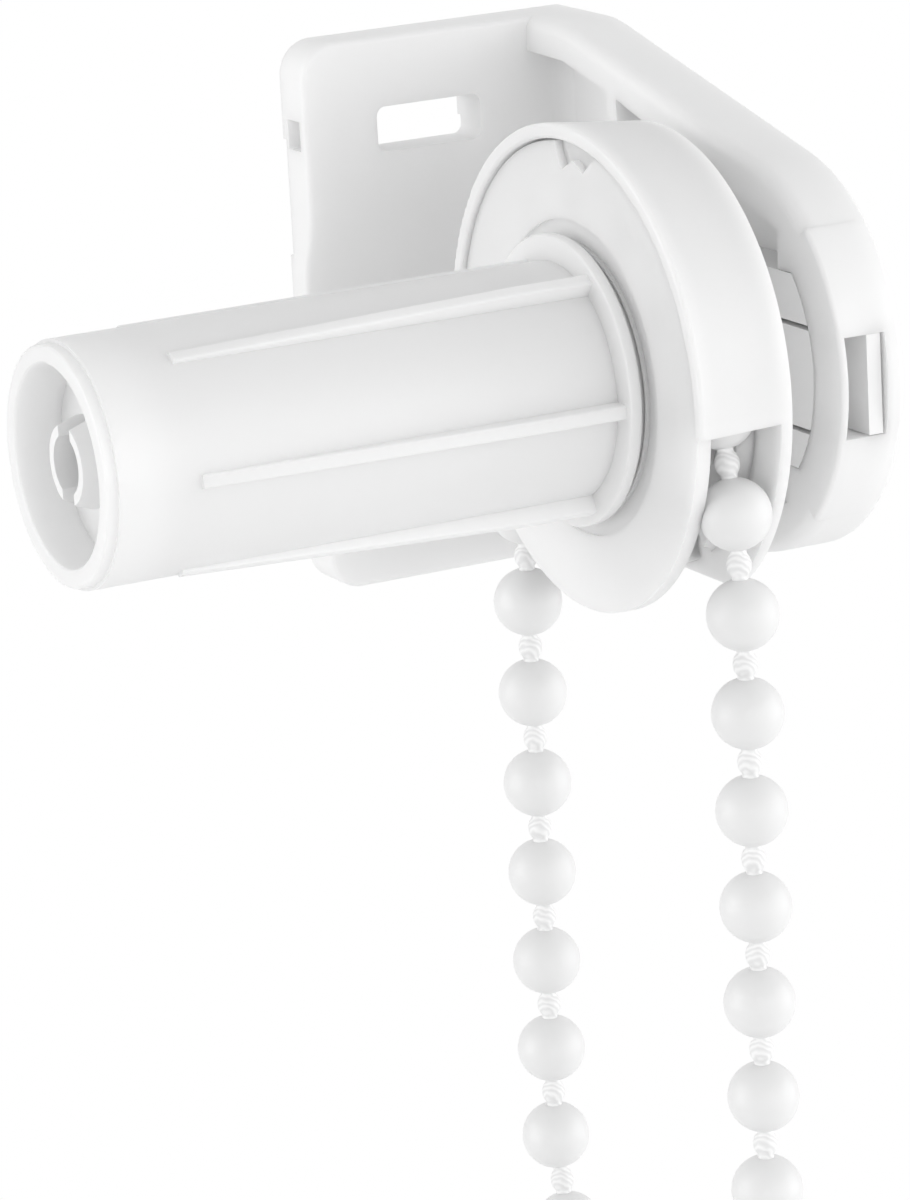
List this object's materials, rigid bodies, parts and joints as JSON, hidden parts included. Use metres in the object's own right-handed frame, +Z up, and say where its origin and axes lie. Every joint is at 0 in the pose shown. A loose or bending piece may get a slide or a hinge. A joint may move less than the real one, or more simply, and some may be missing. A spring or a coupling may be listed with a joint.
{
  "type": "roller blind chain bracket",
  "caption": "Wall bracket for one end of a roller blind, carrying a bead-chain clutch whose ribbed spigot turns the tube.",
  "frame": {"origin": "on the clutch axis, at the front face of the chain wheel's flange, where the tube spigot starts", "axes": "-X along the spigot towards its free end, +Y square to the wall and into it, +Z up"},
  "size_m": [0.0493, 0.0435, 0.0869],
  "materials": {
    "bracket_plastic": "satin",
    "clutch_plastic": "satin",
    "bead_plastic": "gloss",
    "cord_fibre": "matte",
    "spring_steel": "satin"
  },
  "bodies": {
    "fixed": {"chain_bead_01": "bead_plastic", "chain_bead_02": "bead_plastic", "chain_bead_03": "bead_plastic", "chain_bead_04": "bead_plastic", "chain_bead_05": "bead_plastic", "chain_bead_06": "bead_plastic", "chain_bead_07": "bead_plastic", "chain_bead_08": "bead_plastic", "chain_bead_09": "bead_plastic", "chain_bead_10": "bead_plastic", "chain_bead_11": "bead_plastic", "chain_bead_12": "bead_plastic", "chain_bead_13": "bead_plastic", "chain_bead_14": "bead_plastic", "chain_bead_15": "bead_plastic", "chain_bead_16": "bead_plastic", "chain_bead_17": "bead_plastic", "chain_bead_18": "bead_plastic", "chain_bead_19": "bead_plastic", "chain_bead_20": "bead_plastic", "chain_bead_21": "bead_plastic", "chain_bead_22": "bead_plastic", "chain_bead_23": "bead_plastic", "chain_bead_24": "bead_plastic", "chain_bead_25": "bead_plastic", "chain_bead_26": "bead_plastic", "chain_bead_27": "bead_plastic", "chain_bead_28": "bead_plastic", "chain_bead_29": "bead_plastic", "chain_bead_30": "bead_plastic", "chain_bead_31": "bead_plastic", "chain_cord": "cord_fibre", "chain_guard": "clutch_plastic", "fixed_core": "clutch_plastic", "wall_bracket": "bracket_plastic"},
    "drive": {"chain_wheel": "clutch_plastic", "tube_spigot": "clutch_plastic", "wrap_spring_1": "spring_steel", "wrap_spring_2": "spring_steel"}
  },
  "joints": [
    {"name": "drive_spin", "type": "hinge", "parent": "fixed", "child": "drive", "pos_m": [0, 0, 0], "axis": [1, 0, 0], "continuous": true}
  ]
}
